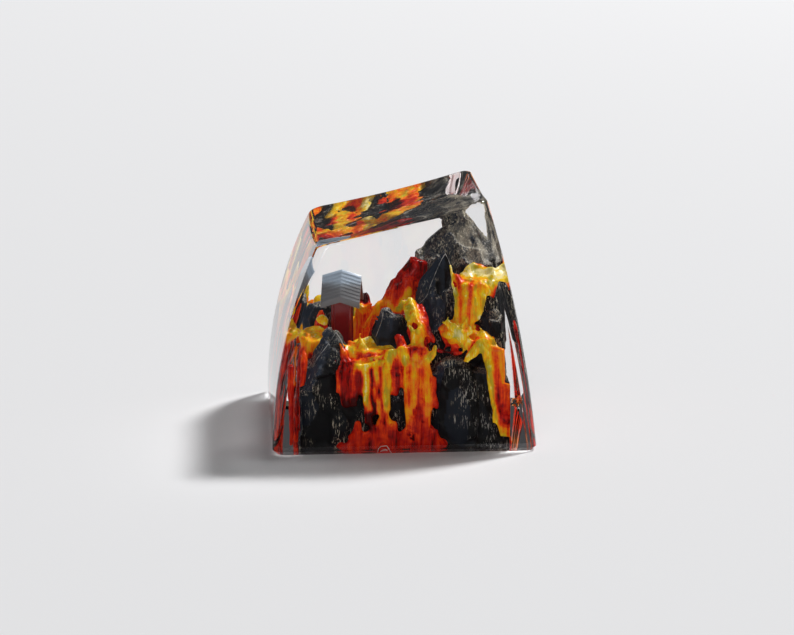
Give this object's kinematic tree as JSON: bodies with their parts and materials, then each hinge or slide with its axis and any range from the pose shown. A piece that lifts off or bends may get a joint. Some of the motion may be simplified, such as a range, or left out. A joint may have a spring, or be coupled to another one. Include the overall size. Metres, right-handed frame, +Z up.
{
  "type": "artisan keycap",
  "caption": "Tall clear resin keycap with a tilted, dished top, cast over a black rock landscape with lava runs and a small hut; cross socket below.",
  "frame": {"origin": "middle of the underside, on the table that the rim stands on", "axes": "+Z up, -Y towards the typist, +Y towards the tall back edge, +X to the side that faces the camera"},
  "size_m": [0.0182, 0.0182, 0.017],
  "materials": {
    "clear_resin": "polished clear resin",
    "black_resin": "matte black with dry-brushed tan edges",
    "lava_resin": "glossy, red to yellow",
    "red_gloss": "glossy dark red",
    "slate": "blue-grey, satin"
  },
  "bodies": {
    "root": {"clear_cap": "clear_resin", "rock_base": "black_resin", "lava_flows": "lava_resin", "hut_walls": "red_gloss", "hut_roof": "slate"}
  },
  "joints": []
}
